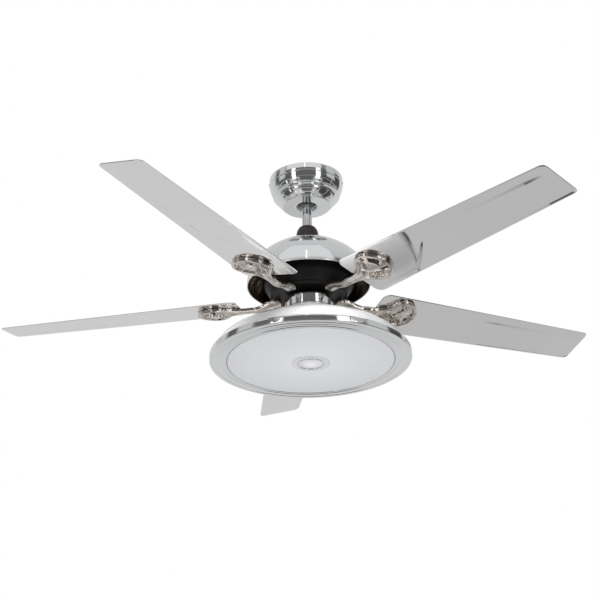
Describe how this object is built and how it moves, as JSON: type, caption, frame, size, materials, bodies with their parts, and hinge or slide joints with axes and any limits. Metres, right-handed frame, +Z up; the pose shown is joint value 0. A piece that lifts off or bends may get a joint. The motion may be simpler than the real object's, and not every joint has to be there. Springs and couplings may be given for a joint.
{
  "type": "ceiling fan with light",
  "caption": "Ceiling fan on a short ball-hung rod, with chrome dome over the motor, flat pitched metal blades on cast arms, and a wide round shallow LED lamp underneath.",
  "frame": {"origin": "centre of the ceiling bracket's flat top face, which lies against the ceiling", "axes": "+Z points up out of the bracket's top face into the ceiling, and is the fan's turning axis at rest; +X runs along the bracket through its two canopy screws; +Y completes the right-handed frame"},
  "size_m": [1.2671, 1.2542, 0.4292],
  "materials": {
    "zinc_steel": "zinc-plated pressed steel, satin",
    "chrome": "bright polished chrome plate",
    "screw_steel": "bright plated steel",
    "white_nylon": "natural nylon",
    "ball_plastic": "moulded black plastic",
    "dark_bronze": "near-black bronze gloss paint",
    "black_paint": "black semi-gloss paint on cast aluminium",
    "cast_chrome": "plated casting, warm nickel tint",
    "polished_stainless": "polished stainless sheet",
    "white_paint": "smooth white gloss enamel",
    "opal_plastic": "frosted opal diffuser",
    "aluminium": "plain pressed sheet",
    "laminated_steel": "varnished steel laminations",
    "copper_coils": "enamelled copper wire",
    "led_board": "white solder-masked board",
    "driver_case": "moulded case"
  },
  "bodies": {
    "ceiling": {"ceiling_bracket": "zinc_steel", "canopy": "chrome", "canopy_screw_1": "screw_steel", "canopy_screw_2": "screw_steel", "terminal_block": "white_nylon"},
    "liner": {"socket_liner": "white_nylon"},
    "hanger": {"hanger_ball": "ball_plastic", "hanger_pin": "screw_steel", "downrod": "chrome", "yoke_cover": "dark_bronze", "motor_yoke": "zinc_steel", "yoke_pin": "screw_steel", "dome_locknut": "zinc_steel", "motor_dome": "chrome", "motor_shaft": "zinc_steel", "upper_bearing": "screw_steel", "lower_bearing": "screw_steel", "stator_core": "laminated_steel", "winding_upper": "copper_coils", "winding_lower": "copper_coils", "neck_collar": "black_paint", "neck_cover": "chrome", "light_stem": "zinc_steel", "light_pan": "white_paint", "light_plate": "zinc_steel", "lamp_rim": "chrome", "diffuser": "opal_plastic", "diffuser_cap": "opal_plastic", "cap_stud": "zinc_steel", "led_tray": "aluminium", "led_board": "led_board", "led_driver": "driver_case"},
    "rotor": {"rotor_top_cover": "black_paint", "rotor_bottom_cover": "black_paint", "rotor_cage_ring": "laminated_steel", "blade_1": "polished_stainless", "blade_2": "polished_stainless", "blade_3": "polished_stainless", "blade_4": "polished_stainless", "blade_5": "polished_stainless", "blade_arm_1": "cast_chrome", "blade_arm_2": "cast_chrome", "blade_arm_3": "cast_chrome", "blade_arm_4": "cast_chrome", "blade_arm_5": "cast_chrome", "blade_screw_1_1": "screw_steel", "blade_screw_1_2": "screw_steel", "blade_screw_1_3": "screw_steel", "blade_screw_2_1": "screw_steel", "blade_screw_2_2": "screw_steel", "blade_screw_2_3": "screw_steel", "blade_screw_3_1": "screw_steel", "blade_screw_3_2": "screw_steel", "blade_screw_3_3": "screw_steel", "blade_screw_4_1": "screw_steel", "blade_screw_4_2": "screw_steel", "blade_screw_4_3": "screw_steel", "blade_screw_5_1": "screw_steel", "blade_screw_5_2": "screw_steel", "blade_screw_5_3": "screw_steel"}
  },
  "joints": [
    {"name": "swing_front_back", "type": "hinge", "parent": "ceiling", "child": "liner", "pos_m": [0, 0, -0.04], "axis": [1, 0, 0], "range_deg": [-10, 10]},
    {"name": "swing_side", "type": "hinge", "parent": "liner", "child": "hanger", "pos_m": [0, 0, -0.04], "axis": [0, 1, 0], "range_deg": [-10, 10]},
    {"name": "rotor_spin", "type": "hinge", "parent": "hanger", "child": "rotor", "pos_m": [0, 0, -0.2872], "axis": [0, 0, 1], "continuous": true}
  ]
}
